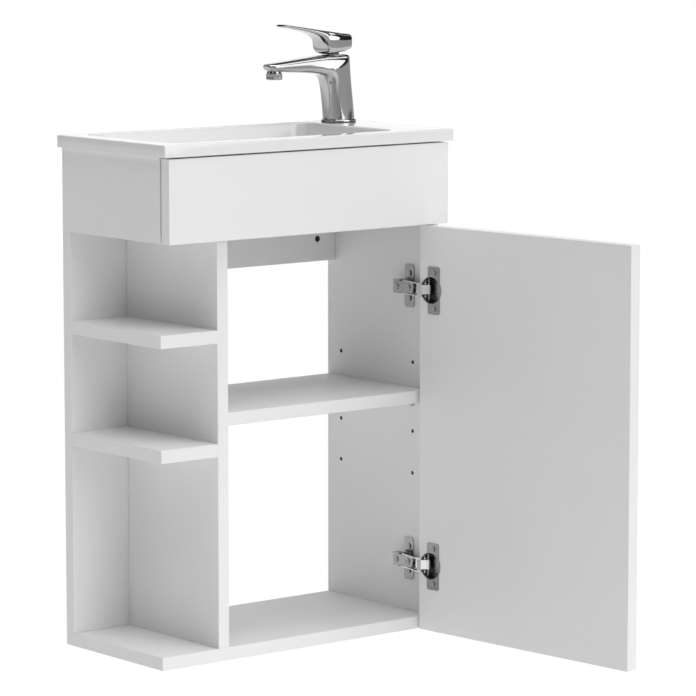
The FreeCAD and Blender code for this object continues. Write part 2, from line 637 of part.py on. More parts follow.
ear_outline = [(pivot_inset - nose, nose_depth), (pivot_inset + nose, nose_depth), (web_under, web_start),
               (web_under, arm_rear), (arm_foot, arm_rear), (arm_foot, 15), (pivot_inset - nose, 7)]
web = [(web_under, web_start), (web_top, web_start + 1), (web_top, arm_rear), (web_under, arm_rear)]
rear = [(arm_foot, cheek_start), (web_top, cheek_start), (web_top, arm_rear), (arm_foot, arm_rear)]
arm_shapes = []
arm_pins = []
arm_screws = []
for height in (size("hinge_low"), size("hinge_high")):
    pieces = [slab(height, ear_outline, ear_in, ear_out), slab(height, ear_outline, -ear_out, -ear_in),
              slab(height, web, -ear_out, ear_out), slab(height, rear, ear_out, cheek_out),
              slab(height, rear, -cheek_out, -ear_out)]
    arm = pieces[0].fuse(pieces[1:]).removeSplitter()
    front_pin = Part.makeCylinder(size("arm_pin_radius"), 2 * ear_out,
                                  front_pivot + V(0, 0, height - ear_out))
    rear_pin = Part.makeCylinder(size("arm_pin_radius"), size("2 * cheek_outer"),
                                 rear_pivot + V(0, 0, height - size("cheek_outer")))
    fixing, fixing_screw = machine_screw(height, size("arm_screw_line"), 16)
    adjuster, adjuster_screw = machine_screw(height, size("adjuster_line"), 1.4 + web_top - arm_foot)
    arm_screws += [fixing_screw, adjuster_screw]
    arm_shapes.append(arm.cut([front_pin, rear_pin, fixing, adjuster]))
    arm_pins += [front_pin, rear_pin]
keep("hinge_arms", shaped("arms", arm_shapes))
keep("hinge_arm_pins", shaped("arm_pins_set", arm_pins))
keep("hinge_arm_screws", shaped("arm_screw_set", arm_screws))

# ---------------------------------------------------------------- basin
RIM_TOP = "(carcass_height + basin_edge)"
basin = doc.addObject("PartDesign::Body", "basin")
slab_outline = sketch(basin, "XY_Plane", "basin_slab_outline", "carcass_height")
draw_box(slab_outline, "-basin_width / 2", "-basin_depth", "basin_width / 2", "0")
slab_pad = feature(basin, "Pad", "basin_slab", slab_outline, Length="basin_edge")
slab_soft = soften(basin, "basin_edges", slab_pad, "basin_corner",
                   lambda edge: edge.BoundBox.ZLength > 1 and edge.BoundBox.YMin < -1
                   or level(edge, size(RIM_TOP)) and edge.BoundBox.YMin < -1)
GROW = "(bowl_wall - basin_edge * tan(bowl_draft))"
BOWL = {"left": "(bowl_left - basin_width / 2)", "right": "(basin_width / 2 - bowl_right)",
        "front": "(bowl_front - basin_depth)", "rear": "(-bowl_rear)"}
shell_outline = sketch(basin, "XY_Plane", "bowl_shell_outline", "carcass_height")
draw_box(shell_outline, f"{BOWL['left']} - {GROW}", f"{BOWL['front']} - {GROW}",
         f"{BOWL['right']} + {GROW}", f"{BOWL['rear']} + {GROW}")
shell = feature(basin, "Pad", "bowl_shell", shell_outline, Reversed=True, TaperAngle="-bowl_draft",
                Length="bowl_depth + bowl_floor - basin_edge")
under = size(f"{RIM_TOP} - bowl_depth - bowl_floor")
shell_soft = soften(basin, "bowl_shell_corners", shell, "bowl_corner",
                    lambda edge: edge.BoundBox.ZMin < under + 1
                    and edge.BoundBox.ZLength > 30)
bowl_outline = sketch(basin, "XY_Plane", "bowl_outline", RIM_TOP)
draw_box(bowl_outline, BOWL["left"], BOWL["front"], BOWL["right"], BOWL["rear"])
bowl = feature(basin, "Pocket", "bowl", bowl_outline, TaperAngle="-bowl_draft", Length="bowl_depth")
bowl_floor_height = size(f"{RIM_TOP} - bowl_depth")


def in_bowl(edge):
    box_of = edge.BoundBox
    return (box_of.ZMin > bowl_floor_height - 0.1 and box_of.ZLength > 60
            and box_of.ZMax > size(RIM_TOP) - 0.1)


bowl_soft = soften(basin, "bowl_corners", bowl, "bowl_corner", in_bowl)
bowl_foot = soften(basin, "bowl_foot_edge", bowl_soft, "bowl_foot",
                   lambda edge: level(edge, bowl_floor_height))
bowl_lip = soften(basin, "bowl_lip_edge", bowl_foot, "bowl_lip",
                  lambda edge: level(edge, size(RIM_TOP)) and edge.BoundBox.XMin > -210
                  and edge.BoundBox.XMax < 190)
DRAIN_X = f"(({BOWL['left']} + {BOWL['right']}) / 2)"
DRAIN_Y = f"(({BOWL['front']} + {BOWL['rear']}) / 2)"
TAP_X = "(carcass_width / 2 - tap_inset)"
TAP_Y = "(-tap_wall_distance)"
drain_hole = sketch(basin, "XY_Plane", "drain_hole_outline", RIM_TOP)
draw_circle(drain_hole, DRAIN_X, DRAIN_Y, "waste_radius")
draw_circle(drain_hole, TAP_X, TAP_Y, "tap_hole_radius")
basin_holes = feature(basin, "Pocket", "basin_holes", drain_hole, Length="bowl_depth + bowl_floor + 5")
keep("washbasin", basin)

# ---------------------------------------------------------------- waste
floor_z = f"({RIM_TOP} - bowl_depth)"
drain_place = FreeCAD.Placement(V(size(DRAIN_X), size(DRAIN_Y), bowl_floor_height), FreeCAD.Rotation())
UNDER = "-bowl_floor"
drain_body = revolved("drain", [
    ("waste_bore_radius", "waste_flange"), ("waste_flange_radius - 2", "waste_flange"),
    ("waste_flange_radius", "waste_flange - 1.6"), ("waste_flange_radius", "0.8"),
    ("waste_tube_radius", "0.8"), ("waste_tube_radius", f"{UNDER} - 14"),
    ("tail_radius", f"{UNDER} - 16"), ("tail_radius", "-waste_length"),
    ("tail_bore_radius", "-waste_length"), ("tail_bore_radius", f"{UNDER} - 14"),
    ("waste_bore_radius", f"{UNDER} - 12")])
keep("drain_body", drain_body, drain_place)
seal = revolved("drain_seal", [
    ("waste_tube_radius", "0"), ("waste_flange_radius - 1", "0"),
    ("waste_flange_radius - 1", "0.8"), ("waste_tube_radius", "0.8")])
lower_seal = revolved("drain_lower_seal", [
    ("waste_tube_radius", f"{UNDER} - 3"), ("28", f"{UNDER} - 3"), ("28", UNDER),
    ("waste_tube_radius", UNDER)])
keep("drain_flange_seal", seal, drain_place)
keep("drain_lower_gasket", lower_seal, drain_place)
nut = doc.addObject("Part::Prism", "drain_nut_prism")
nut.Polygon = 6
nut.Circumradius = 30
nut.Height = 7
nut.Placement = FreeCAD.Placement(V(0, 0, size(f"{UNDER} - 10")), FreeCAD.Rotation())
nut_bore = cylinder("drain_nut_bore", ("0", "0", f"{UNDER} - 11"), "z", "waste_tube_radius", "9")
keep("drain_nut", cut("drain_nut_cut", nut, [nut_bore]), drain_place)
plug_floor = "(waste_flange + 0.4)"
plug = revolved("plug", [
    ("0", f"{plug_floor}"), ("plug_radius", plug_floor), ("plug_radius", f"{plug_floor} + 2"),
    ("plug_radius - 4", f"{plug_floor} + 4"), ("0", f"{plug_floor} + 5")])
plug_stem = cylinder("plug_stem", ("0", "0", f"{UNDER} - 8"), "z", "4", f"{plug_floor} + bowl_floor + 9")
keep("drain_plug", fuse("plug_whole", [plug, plug_stem]), drain_place)
bridge_bar = box("drain_bridge_bar", ("0.3 - waste_bore_radius", "-3", f"{UNDER} - 8"),
                 ("2 * waste_bore_radius - 0.6", "6", "9"))
bridge_tube = cylinder("drain_bridge_tube", ("0", "0", f"{UNDER} - 10"), "z", "7", "12")
bridge_bore = cylinder("drain_bridge_bore", ("0", "0", f"{UNDER} - 17"), "z", "4 + pin_play", "30")
bridge_blank = fuse("drain_bridge_blank", [bridge_bar, bridge_tube])
keep("drain_click_guide", cut("drain_bridge", bridge_blank, [bridge_bore]), drain_place)

# ---------------------------------------------------------------- tap, in its own frame
# Tap frame: origin on the basin's deck, -X along the spout.
tap_place = FreeCAD.Placement(V(size(TAP_X), size(TAP_Y), size(RIM_TOP)), FreeCAD.Rotation())
gasket = revolved("tap_gasket_ring", [
    ("tap_hole_radius + 1", "0"), ("tap_base_radius - 0.6", "0"),
    ("tap_base_radius - 0.6", "1"), ("tap_hole_radius + 1", "1")])
keep("tap_gasket", gasket, tap_place)

tap = doc.addObject("PartDesign::Body", "tap_solid")
plate_ring = sketch(tap, "XY_Plane", "tap_base_outline", "1")
draw_circle(plate_ring, "0", "0", "tap_base_radius")
base_pad = feature(tap, "Pad", "tap_base", plate_ring, Length="2.5")
foot_ring = sketch(tap, "XY_Plane", "tap_foot_outline", "3")
draw_circle(foot_ring, "0", "0", "tap_foot_radius")
top_ring = sketch(tap, "XY_Plane", "tap_top_outline", "tap_height")
draw_circle(top_ring, "-tap_lean", "0", "tap_top_radius")
barrel = feature(tap, "AdditiveLoft", "tap_barrel", foot_ring, Sections=[top_ring], Ruled=True)
root_frame = sketch(tap, "YZ_Plane", "spout_root", "-tap_lean - 4")
draw_box(root_frame, "-16", "57", "16", "tap_height - 0.5")
tip_frame = sketch(tap, "YZ_Plane", "spout_tip", "-spout_reach")
draw_box(tip_frame, "-13", "67", "13", "77")
spout = feature(tap, "AdditiveLoft", "tap_spout", root_frame, Sections=[tip_frame], Ruled=True)


TIP = -size("spout_reach")
spout_end = soften(tap, "spout_end", spout, "spout_end_radius",
                   lambda edge: edge.BoundBox.XMax < TIP + 0.1 and edge.BoundBox.YLength < 0.1)
spout_soft = soften(tap, "spout_edges", spout_end, "spout_edge",
                    lambda edge: edge.BoundBox.XLength > 70)
cavity = sketch(tap, "XY_Plane", "cartridge_cavity", "tap_height")
draw_circle(cavity, "-tap_lean", "0", "cartridge_radius")
cavity_cut = feature(tap, "Pocket", "cartridge_pocket", cavity, Length="tap_height - cartridge_seat")
below = sketch(tap, "XY_Plane", "tap_bores", "1")
draw_circle(below, "0", "0", "4")
draw_circle(below, "-2", "10.5", "3.2")
draw_circle(below, "-2", "-10.5", "3.2")
feature(tap, "Pocket", "tap_bores_cut", below, Length="cartridge_seat - 5", Reversed=True)
mouth = sketch(tap, "XY_Plane", "aerator_mouth", "60")
draw_circle(mouth, "-aerator_reach", "0", "aerator_radius - 1.5")
feature(tap, "Pocket", "aerator_pocket", mouth, Length="12.5", Reversed=True)
keep("tap_body", tap, tap_place)

aerator = revolved("aerator_ring", [
    ("7.5", "57.5"), ("aerator_radius - 0.6", "57.5"), ("aerator_radius", "58.1"),
    ("aerator_radius", "64.4"), ("aerator_radius - 1.5", "64.4"), ("aerator_radius - 1.5", "72"),
    ("7.5", "72")])
aerator_place = FreeCAD.Placement(tap_place.Base + V(-size("aerator_reach"), 0, 0), FreeCAD.Rotation())
keep("aerator_housing", aerator, aerator_place)
insert = revolved("aerator_core", [("0", "58.6"), ("7.5", "58.6"), ("7.5", "66"), ("0", "66")])
keep("aerator_insert", insert, aerator_place)

# Cartridge axis: through the tap's head.
head_place = FreeCAD.Placement(tap_place.Base + V(-size("tap_lean"), 0, 0), FreeCAD.Rotation())
cartridge = revolved("cartridge", [
    ("0", "cartridge_seat"), ("cartridge_radius", "cartridge_seat"), ("cartridge_radius", "82"),
    ("9.2", "82"), ("9.2", "69.8"), ("0", "69.8")])
keep("cartridge_body", cartridge, head_place)
ring_nut = revolved("ring_nut", [
    ("9.2", "82"), ("cartridge_radius", "82"), ("cartridge_radius", "87"), ("9.2", "87")])
keep("cartridge_nut", ring_nut, head_place)
rotor_low = cylinder("rotor_low", ("0", "0", "70.1"), "z", "9.15", "11.5")
rotor_neck = cylinder("rotor_neck", ("0", "0", "70.1"), "z", "rotor_neck_radius", "rotor_top - 70.1")
rotor_slot = box("rotor_slot", ("-rotor_neck_radius - 1", "-4.4", "84"),
                 ("2 * rotor_neck_radius + 2", "8.8", "rotor_top - 83"))
rotor_pin_hole = cylinder("rotor_pin_hole", ("0", "-10", "lift_axis"), "y", "1.5", "20")
rotor = cut("rotor", fuse("rotor_blank", [rotor_low, rotor_neck]), [rotor_slot, rotor_pin_hole])
keep("cartridge_rotor", rotor, head_place)
stem_pin_rod = cylinder("stem_pin_rod", ("0", "-7.8", "lift_axis"), "y", "1.5", "15.6")
keep("cartridge_stem_pin", group("stem_pin", [stem_pin_rod]), head_place)
stem_blank = box("stem_blank", ("-3.5", "-4", "lift_axis - 5.5"), ("7", "8", "16"))
stem_bore = cylinder("stem_bore", ("0", "-5", "lift_axis"), "y", "1.5 + pin_play", "10")
keep("cartridge_stem", cut("stem", stem_blank, [stem_bore]), head_place)

# Lever: its side outline, cut to its outline in plan, with a hollow over the cartridge.
lever_side = doc.addObject("PartDesign::Body", "lever_side")
side_outline = sketch(lever_side, "XZ_Plane", "lever_side_outline")
draw_outline(side_outline, [
    ("head_radius", "94.2"), ("head_radius - 1.6", "112.4"), ("-83.4", "127.5"), ("-82", "123.4"),
    ("-52", "118"), ("-32", "109.5"), ("-22", "100"), ("-head_radius", "head_floor"),
    ("6", "head_floor")])
side_pad = feature(lever_side, "Pad", "lever_side_pad", side_outline, Length="44", Midplane=True)
lever_plan = doc.addObject("PartDesign::Body", "lever_plan")
plan_ring = sketch(lever_plan, "XY_Plane", "lever_plan_ring", "80")
draw_circle(plan_ring, "0", "0", "head_radius")
ring_pad = feature(lever_plan, "Pad", "lever_plan_head", plan_ring, Length="60")
plan_tongue = sketch(lever_plan, "XY_Plane", "lever_plan_tongue", "80")
draw_outline(plan_tongue, [("0", "17.5"), ("-40", "14.5"), ("-84", "12"), ("-84", "-12"),
                           ("-40", "-14.5"), ("0", "-17.5")])
feature(lever_plan, "Pad", "lever_plan_arm", plan_tongue, Length="60")
lever_blank = doc.addObject("Part::Common", "lever_blank")
lever_blank.Base = lever_side
lever_blank.Tool = lever_plan
hollow = cylinder("lever_hollow", ("0", "0", "head_floor - 1"), "z", "head_radius - 3",
                  "hollow_top - head_floor + 1")
socket = box("lever_socket", ("-3.5", "-4", "hollow_top - 1"), ("7", "8", "lift_axis + 11.5 - hollow_top"))
screw_bore = cylinder("lever_screw_bore", ("3.5", "0", "hollow_top + 2.8"), "x", "2.5", "20")
keep("tap_lever", cut("lever", lever_blank, [hollow, socket, screw_bore]), head_place)
set_screw = cylinder("set_screw", ("3.5", "0", "hollow_top + 2.8"), "x", "2.5", "6")
set_screw_hex = doc.addObject("Part::Prism", "set_screw_hex")
set_screw_hex.Polygon = 6
set_screw_hex.Circumradius = 1.4
set_screw_hex.Height = 3
set_screw_hex.Placement = FreeCAD.Placement(V(7.5, 0, size("hollow_top + 2.8")), TURNS["x"])
keep("lever_set_screw", cut("set_screw_cut", set_screw, [set_screw_hex]), head_place)

stud = cylinder("stud_rod", ("0", "0", "-48"), "z", "4", "72")
keep("tap_stud", group("stud", [stud]), tap_place)
clamp_disc = cylinder("clamp_disc", ("0", "0", "-basin_edge - 3"), "z", "23", "3")
clamp_hole = cylinder("clamp_hole", ("0", "0", "-basin_edge - 4"), "z", "4.3", "5")
clamp_side = box("clamp_side", ("9.5", "-30", "-basin_edge - 4"), ("30", "60", "5"))
clamp_gap = box("clamp_gap", ("-12", "6", "-basin_edge - 4"), ("16", "30", "5"))
keep("tap_clamp_plate", cut("clamp", clamp_disc, [clamp_hole, clamp_side, clamp_gap]), tap_place)
stud_nut = doc.addObject("Part::Prism", "stud_nut_prism")
stud_nut.Polygon = 6
stud_nut.Circumradius = 7.5
stud_nut.Height = 7
stud_nut.Placement = FreeCAD.Placement(V(0, 0, size("-basin_edge - 10")), FreeCAD.Rotation())
stud_nut_bore = cylinder("stud_nut_bore", ("0", "0", "-basin_edge - 11"), "z", "4", "9")
keep("tap_stud_nut", cut("stud_nut", stud_nut, [stud_nut_bore]), tap_place)

# ---------------------------------------------------------------- check and write
doc.recompute()
for item in doc.Objects:
    if "Invalid" in item.State or "Error" in item.State:
        raise RuntimeError(f"{item.Name} ({item.Label}) failed: {item.State}")
for label, item in NODES.items():
    if item.Shape.isNull() or not item.Shape.isValid() or not item.Shape.Solids:
        raise RuntimeError(f"{label} has no valid shape")

os.makedirs("parts", exist_ok=True)
for label, item in NODES.items():
    item.Shape.exportStep(f"parts/{label}.step")
print(f"{len(NODES)} nodes written")
print(f"front pivot {front_pivot.x:.3f} {front_pivot.y:.3f}, short link {short_length:.3f} mm")
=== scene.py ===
"""Looks for the wall-hung cloakroom vanity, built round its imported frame.

Metres, in the part's own frame: +X right, +Y into the wall, +Z up.
"""

import json
import math

import bmesh
import bpy
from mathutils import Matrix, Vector


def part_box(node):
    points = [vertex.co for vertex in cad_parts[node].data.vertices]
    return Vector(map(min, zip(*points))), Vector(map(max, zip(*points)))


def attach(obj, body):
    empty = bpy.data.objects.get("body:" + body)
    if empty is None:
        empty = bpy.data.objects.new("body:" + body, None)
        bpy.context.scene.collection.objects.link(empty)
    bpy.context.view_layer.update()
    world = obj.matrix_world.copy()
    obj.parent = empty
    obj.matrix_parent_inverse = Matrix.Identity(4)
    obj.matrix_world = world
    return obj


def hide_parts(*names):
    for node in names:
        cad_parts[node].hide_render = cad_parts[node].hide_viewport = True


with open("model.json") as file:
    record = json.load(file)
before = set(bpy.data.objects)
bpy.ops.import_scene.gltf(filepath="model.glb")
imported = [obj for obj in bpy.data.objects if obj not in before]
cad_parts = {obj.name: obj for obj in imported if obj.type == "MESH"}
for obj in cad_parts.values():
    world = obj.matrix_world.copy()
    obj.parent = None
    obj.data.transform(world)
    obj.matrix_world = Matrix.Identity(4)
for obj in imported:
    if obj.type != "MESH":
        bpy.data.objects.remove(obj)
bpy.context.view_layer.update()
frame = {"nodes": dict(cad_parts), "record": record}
NODES = frame["nodes"]
MM = 0.001


# ---------------------------------------------------------------- places from the frame
def low(node):
    return Vector(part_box(node)[0])


def high(node):
    return Vector(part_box(node)[1])


def middle(node):
    return (low(node) + high(node)) / 2


FLOOR = low("bottom_panel").z
RIM = high("washbasin").z
DRAIN = middle("drain_body")
TAP = middle("tap_gasket")


# ---------------------------------------------------------------- materials
def material(name, color, rough, metallic=0.0, coat=0.0, coat_rough=0.05, specular=0.5):
    mat = bpy.data.materials.new(name)
    mat.use_nodes = True
    shader = mat.node_tree.nodes["Principled BSDF"]
    shader.inputs["Base Color"].default_value = (*color, 1)
    shader.inputs["Roughness"].default_value = rough
    shader.inputs["Metallic"].default_value = metallic
    shader.inputs["Coat Weight"].default_value = coat
    shader.inputs["Coat Roughness"].default_value = coat_rough
    shader.inputs["Specular IOR Level"].default_value = specular
    return mat


def noise(mat, scale, detail=3.0, stretch=(1, 1, 1)):
    """A noise texture laid out in the object's own coordinates."""
    nodes, links = mat.node_tree.nodes, mat.node_tree.links
    coords = nodes.new("ShaderNodeTexCoord")
    mapping = nodes.new("ShaderNodeMapping")
    mapping.inputs["Scale"].default_value = stretch
    texture = nodes.new("ShaderNodeTexNoise")
    texture.inputs["Scale"].default_value = scale
    texture.inputs["Detail"].default_value = detail
    links.new(coords.outputs["Object"], mapping.inputs["Vector"])
    links.new(mapping.outputs["Vector"], texture.inputs["Vector"])
    return texture


# The part of a noise texture's range that is spread over the whole effect.
NOISE_FROM, NOISE_TO = 0.35, 0.65


def ramp(mat, source, low_value, high_value):
    nodes, links = mat.node_tree.nodes, mat.node_tree.links
    item = nodes.new("ShaderNodeMapRange")
    item.inputs["From Min"].default_value = NOISE_FROM
    item.inputs["From Max"].default_value = NOISE_TO
    item.inputs["To Min"].default_value = low_value
    item.inputs["To Max"].default_value = high_value
    links.new(source, item.inputs["Value"])
    return item.outputs["Result"]


def vary_rough(mat, texture, low_value, high_value):
    shader = mat.node_tree.nodes["Principled BSDF"]
    mat.node_tree.links.new(ramp(mat, texture.outputs["Fac"], low_value, high_value),
                            shader.inputs["Roughness"])


def vary_color(mat, texture, dark, light):
    nodes, links = mat.node_tree.nodes, mat.node_tree.links
    mix = nodes.new("ShaderNodeMix")
    mix.data_type = "RGBA"
    mix.inputs["A"].default_value = (*dark, 1)
    mix.inputs["B"].default_value = (*light, 1)
    links.new(ramp(mat, texture.outputs["Fac"], 0, 1), mix.inputs["Factor"])
    links.new(mix.outputs["Result"], nodes["Principled BSDF"].inputs["Base Color"])


def bump(mat, texture, strength, distance):
    nodes, links = mat.node_tree.nodes, mat.node_tree.links
    item = nodes.new("ShaderNodeBump")
    item.inputs["Strength"].default_value = strength
    item.inputs["Distance"].default_value = distance
    links.new(texture.outputs["Fac"], item.inputs["Height"])
    links.new(item.outputs["Normal"], nodes["Principled BSDF"].inputs["Normal"])


def grey(value, tint=0.0):
    return (value, value, value + tint)


def white_board(name, shade, rough, grain):
    """Melamine-faced board: a fine pearl grain under a satin sheen."""
    mat = material(name, grey(shade), rough, specular=0.4)
    fine = noise(mat, grain, 4.0)
    vary_rough(mat, fine, rough - 0.05, rough + 0.07)
    bump(mat, fine, 0.25, 0.02 * MM)
    broad = noise(mat, 9, 2.0)
    vary_color(mat, broad, grey(shade - 0.006), grey(shade + 0.004))
    return mat


def metal(name, shade, rough, grain, stretch=(1, 1, 1), tint=0.0):
    """Plated or machined metal with faint marks in its polish."""
    mat = material(name, grey(shade, tint), rough, metallic=1.0)
    marks = noise(mat, grain, 5.0, stretch)
    vary_rough(mat, marks, max(rough - 0.04, 0.02), rough + 0.05)
    bump(mat, marks, 0.12, 0.01 * MM)
    return mat


MATERIALS = {
    "white_board": white_board("melamine_white", shade=0.82, rough=0.42, grain=2600),
    "white_front": white_board("front_white", shade=0.84, rough=0.36, grain=1800),
    "beech": material("beech", (0.62, 0.43, 0.24), rough=0.6),
    "nickel": metal("nickel_plate", shade=0.36, rough=0.24, grain=900, tint=-0.01),
    "zinc": metal("zinc_plate", shade=0.44, rough=0.30, grain=1500, tint=0.015),
    "chrome": metal("chrome_plate", shade=0.47, rough=0.04, grain=400, tint=0.008),
    "brass": metal("machined_brass", shade=0.7, rough=0.3, grain=1200, stretch=(1, 1, 12)),
    "black_rubber": material("rubber", grey(0.02), rough=0.75),
    "grey_plastic": material("moulded_plastic", grey(0.32), rough=0.5),
    "white_ceramic": material("glazed_white", grey(0.83), rough=0.12, coat=0.6, coat_rough=0.04),
}
brass_shader = MATERIALS["brass"].node_tree.nodes["Principled BSDF"]
brass_shader.inputs["Base Color"].default_value = (0.62, 0.44, 0.17, 1)
beech_grain = noise(MATERIALS["beech"], 60, 6.0, (1, 1, 0.08))
vary_color(MATERIALS["beech"], beech_grain, (0.50, 0.33, 0.17), (0.68, 0.49, 0.29))
bump(MATERIALS["beech"], beech_grain, 0.3, 0.05 * MM)

# Slot, scale and detail of its grain, least and most roughness, strength and height of the bumps in mm.
for slot_name, scale, detail, smoothest, roughest, strength, bump_height in (
        ("black_rubber", 3000, 3.0, 0.65, 0.85, 0.3, 0.02),
        ("grey_plastic", 2400, 3.0, 0.42, 0.58, 0.2, 0.02),
        ("white_ceramic", 14, 2.0, 0.09, 0.16, 0.05, 0.2)):
    grain = noise(MATERIALS[slot_name], scale, detail)
    vary_rough(MATERIALS[slot_name], grain, smoothest, roughest)
    bump(MATERIALS[slot_name], grain, strength, bump_height * MM)

SLOTS = {item["node"]: item["material_slot"] for item in frame["record"]["subparts"]}
for node, slot_name in SLOTS.items():
    mesh = NODES[node].data
    mesh.materials.clear()
    mesh.materials.append(MATERIALS[slot_name])

# The hinges' links get a lighter copy of the nickel than their pressed arms and cups, with a smoother polish;
# the lighter colour is a painted highlight that stands in for the white bands they reflect.
LINK_NICKEL_PAINTED_HIGHLIGHT = metal("nickel_painted_highlight", shade=0.78, rough=0.12, grain=900, tint=-0.01)
for node in ("hinge_short_links", "hinge_long_links"):
    NODES[node].data.materials[0] = LINK_NICKEL_PAINTED_HIGHLIGHT

# Drilled holes show the raw chipboard under the white facing.
CHIPBOARD = material("raw_chipboard", (0.17, 0.12, 0.075), rough=0.9, specular=0.1)
chips = noise(CHIPBOARD, 700, 5.0)
vary_color(CHIPBOARD, chips, (0.10, 0.07, 0.04), (0.24, 0.18, 0.11))
bump(CHIPBOARD, chips, 0.6, 0.1 * MM)
NEAR_FACE = 1.0 * MM
LONGEST_DRILLING = 20 * MM
SQUARE_TO_AXIS = 0.9999


def faces_nearby(point, corners):
    """How many sides of the node's box the point lies against."""
    return sum(abs(point[axis] - corner[axis]) < NEAR_FACE for corner in corners for axis in range(3))


def is_drilled(polygon, mesh, to_world, corners):
    """A short slanted face that touches at most one side of the board is the wall of a drilling."""
    if max(abs(part) for part in polygon.normal) > SQUARE_TO_AXIS:
        return False
    spots = [to_world @ mesh.vertices[i].co for i in polygon.vertices]
    spans = [max(spot[axis] for spot in spots) - min(spot[axis] for spot in spots) for axis in range(3)]
    return max(spans) < LONGEST_DRILLING and min(faces_nearby(spot, corners) for spot in spots) < 2


for node, slot_name in SLOTS.items():
    if slot_name != "white_board":
        continue
    board = NODES[node]
    board.data.materials.append(CHIPBOARD)
    corners = (low(node), high(node))
    for polygon in board.data.polygons:
        if is_drilled(polygon, board.data, board.matrix_world, corners):
            polygon.material_index = 1


# ---------------------------------------------------------------- mesh building
def piece(name, verts, faces, slot_name, body):
    """A new mesh piece in its CAD body, painted as its slot says."""
    mesh = bpy.data.meshes.new(name)
    mesh.from_pydata([tuple(v) for v in verts], [], faces)
    mesh.validate()
    build = bmesh.new()
    build.from_mesh(mesh)
    bmesh.ops.recalc_face_normals(build, faces=build.faces)
    build.to_mesh(mesh)
    build.free()
    mesh.materials.append(MATERIALS[slot_name])
    for polygon in mesh.polygons:
        polygon.use_smooth = True
    item = bpy.data.objects.new(name, mesh)
    bpy.context.collection.objects.link(item)
    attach(item, body)
    return item


def crisp(item, angle):
    """Flat where faces meet at more than the angle, smooth elsewhere."""
    limit = math.radians(angle)
    build = bmesh.new()
    build.from_mesh(item.data)
    for edge in build.edges:
        edge.smooth = len(edge.link_faces) == 2 and edge.calc_face_angle(0) < limit
    build.to_mesh(item.data)
    build.free()


def bridge(rings, closed=False):
    """Quads between rings of equal length, closed on themselves or with the two ends capped."""
    count = len(rings[0])
    verts = [v for ring in rings for v in ring]
    faces = []
    spans = len(rings) if closed else len(rings) - 1
    for i in range(spans):
        here, there = i * count, (i + 1) % len(rings) * count
        for j in range(count):
            k = (j + 1) % count
            faces.append((here + j, here + k, there + k, there + j))
    if not closed:
        faces.append(tuple(reversed(range(count))))
        faces.append(tuple(range((len(rings) - 1) * count, len(rings) * count)))
    return verts, faces


def spline(stations, steps):
    """Rows of numbers joined by a Catmull-Rom spline."""
    rows = []
    last = len(stations) - 1
    for i in range(last):
        p0, p1 = stations[max(i - 1, 0)], stations[i]
        p2, p3 = stations[i + 1], stations[min(i + 2, last)]
        for step in range(steps):
            t = step / steps
            rows.append([
                0.5 * (2 * b + (c - a) * t + (2 * a - 5 * b + 4 * c - d) * t * t
                       + (3 * b - a - 3 * c + d) * t ** 3)
                for a, b, c, d in zip(p0, p1, p2, p3)])
    rows.append(list(stations[-1]))
    return rows


def squared_circle(angle, power):
    """A point of a superellipse with unit half-sizes."""
    c, s = math.cos(angle), math.sin(angle)
    grow = (abs(c) ** power + abs(s) ** power) ** (-1 / power)
    return c * grow, s * grow


# ---------------------------------------------------------------- tap body
DECK = low("tap_gasket").z
HEAD_X = middle("cartridge_body").x
HOLE_SIDES = 64


def tap_point(x, y, z, origin_x):
    return Vector((origin_x + x * MM, TAP.y + y * MM, DECK + z * MM))


def drill(item, bottom, top, radius):
    """Cuts a round hole on the head's axis, between two heights over the deck, in mm."""
    center = Vector((HEAD_X, TAP.y, DECK + (bottom + top) / 2 * MM))
    tool_mesh = bpy.data.meshes.new("tool")
    build = bmesh.new()
    bmesh.ops.create_cone(build, cap_ends=True, segments=HOLE_SIDES, radius1=radius * MM,
                          radius2=radius * MM, depth=(top - bottom) * MM)
    bmesh.ops.translate(build, verts=build.verts, vec=center)
    build.to_mesh(tool_mesh)
    build.free()
    tool = bpy.data.objects.new("tool", tool_mesh)
    bpy.context.collection.objects.link(tool)
    cutter = item.modifiers.new("hole", "BOOLEAN")
    cutter.operation = "DIFFERENCE"
    cutter.solver = "EXACT"
    cutter.object = tool
    graph = bpy.context.evaluated_depsgraph_get()
    result = bpy.data.meshes.new_from_object(item.evaluated_get(graph))
    item.modifiers.clear()
    item.data = result
    bpy.data.objects.remove(tool)


# Underside point, upper point (x and z of each), half width and squareness, in mm.
COLUMN = [
    (-19.9, 3.4, 19.9, 3.4, 19.9, 2.2), (-20.9, 18, 18.3, 18, 19.4, 2.3), (-22.9, 36, 15.9, 37, 19.1, 2.4),
    (-24.9, 48, 13.7, 54, 19.0, 2.5), (-27.2, 55, 11.9, 70, 19.1, 2.7), (-29.6, 58, 10.6, 80, 19.1, 3.0),
    (-31.4, 59.4, 9.9, 84.4, 19.0, 3.2), (-33, 60.2, 8.4, 86.2, 18.9, 3.4), (-34.6, 60.9, 4, 86.7, 18.6, 3.5),
    (-38, 61.8, -9, 86.8, 18.0, 3.6), (-44, 63, -26, 86.5, 16.9, 3.6), (-56, 64.3, -45, 84.7, 15.8, 3.6),
    (-74, 65.5, -68, 82.4, 14.8, 3.6), (-92, 66.5, -90, 80.2, 13.9, 3.6), (-104, 67.2, -104, 78.8, 13.0, 3.4),
    (-111, 68, -112, 78, 11.2, 3.0), (-115.4, 69.2, -116.8, 77.4, 8.2, 2.6),
    (-117.2, 70.6, -118.6, 76.2, 4.4, 2.3),
]
AROUND = 72


def column_ring(row):
    under_x, under_z, upper_x, upper_z, half_width, power = row
    center = Vector(((under_x + upper_x) / 2, 0, (under_z + upper_z) / 2))
    half = Vector(((upper_x - under_x) / 2, 0, (upper_z - under_z) / 2))
    ring = []
    for j in range(AROUND):
        a, b = squared_circle(math.tau * j / AROUND, power)
        spot = center + half * a
        ring.append(tap_point(spot.x, half_width * b, spot.z, TAP.x))
    return ring


